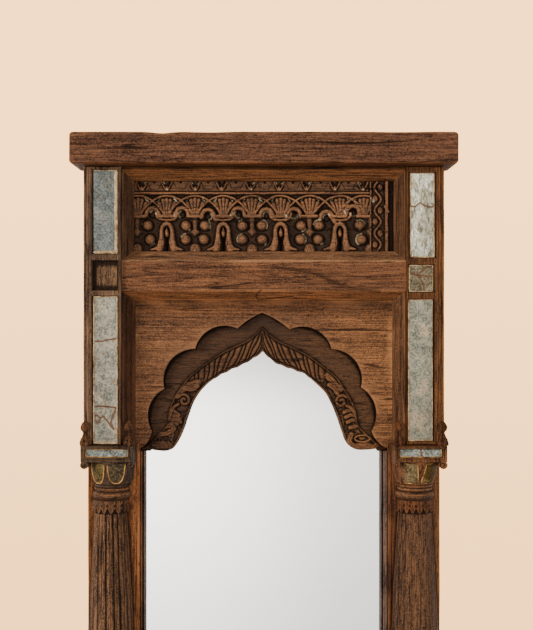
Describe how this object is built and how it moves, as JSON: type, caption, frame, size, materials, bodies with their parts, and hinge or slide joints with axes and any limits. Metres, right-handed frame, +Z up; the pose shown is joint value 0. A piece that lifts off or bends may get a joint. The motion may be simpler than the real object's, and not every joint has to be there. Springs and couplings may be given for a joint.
{
  "type": "wall mirror",
  "caption": "Tall wall mirror in a reclaimed carved wooden frame with a cusped arch, a carved frieze, inset foxed panes and reeded half columns.",
  "frame": {"origin": "on the frame's rear face, in the middle of its width and of its height", "axes": "+X to the right seen from the front, +Y towards the wall, +Z up"},
  "size_m": [0.873, 0.138, 1.93],
  "materials": {
    "old_wood": "worn, dry waxed old hardwood with dark grain",
    "warm_wood": "worn hardwood, warmer and less dirty",
    "foxed_pane": "foxed silvered glass, mottled grey blue, cream putty edges",
    "petal_pane": "dull olive gold backed glass",
    "hardware": "dull dark zinc",
    "bumper": "pressed dark felt",
    "mirror": "clear silvered float glass",
    "back_ply": "raw thin board"
  },
  "bodies": {
    "frame": {"cornice_beam": "old_wood", "sill_beam": "old_wood", "transom_rail": "old_wood", "frieze_panel": "old_wood", "arch_panel": "old_wood", "post_left": "old_wood", "capital_left": "old_wood", "capital_bell_left": "old_wood", "neck_ring_left": "old_wood", "leaf_collar_left": "old_wood", "column_shaft_left": "old_wood", "column_base_left": "old_wood", "plinth_left": "old_wood", "post_right": "old_wood", "capital_right": "old_wood", "capital_bell_right": "old_wood", "neck_ring_right": "old_wood", "leaf_collar_right": "old_wood", "column_shaft_right": "old_wood", "column_base_right": "old_wood", "plinth_right": "old_wood", "bottom_rail": "warm_wood", "frieze_moulding_top": "warm_wood", "sight_bead_bottom": "warm_wood", "back_batten": "warm_wood", "jamb_left": "warm_wood", "sight_bead_left": "warm_wood", "frieze_moulding_left": "warm_wood", "arch_moulding_left": "warm_wood", "jamb_right": "warm_wood", "sight_bead_right": "warm_wood", "frieze_moulding_right": "warm_wood", "arch_moulding_right": "warm_wood", "pane_upper_left": "foxed_pane", "pane_lower_left": "foxed_pane", "pane_capital_left": "foxed_pane", "pane_upper_right": "foxed_pane", "pane_lower_right": "foxed_pane", "pane_capital_right": "foxed_pane", "pane_middle_right": "foxed_pane", "petal_outer_left": "petal_pane", "petal_inner_left": "petal_pane", "petal_outer_right": "petal_pane", "petal_inner_right": "petal_pane", "hanger_plate_left": "hardware", "hanger_screw_upper_left": "hardware", "hanger_screw_lower_left": "hardware", "board_clip_upper_left": "hardware", "board_clip_lower_left": "hardware", "hanger_plate_right": "hardware", "hanger_screw_upper_right": "hardware", "hanger_screw_lower_right": "hardware", "board_clip_upper_right": "hardware", "board_clip_lower_right": "hardware", "wall_bumper_left": "bumper", "wall_bumper_right": "bumper", "mirror_glass": "mirror", "back_board": "back_ply"},
    "left_ring": {"ring_left": "hardware"},
    "right_ring": {"ring_right": "hardware"}
  },
  "joints": [
    {"name": "ring_left_swing", "type": "hinge", "parent": "frame", "child": "left_ring", "pos_m": [-0.36675, 0.004, 0.739], "axis": [1, 0, 0], "range_deg": [0, 180]},
    {"name": "ring_right_swing", "type": "hinge", "parent": "frame", "child": "right_ring", "pos_m": [0.36675, 0.004, 0.739], "axis": [1, 0, 0], "range_deg": [0, 180]}
  ]
}
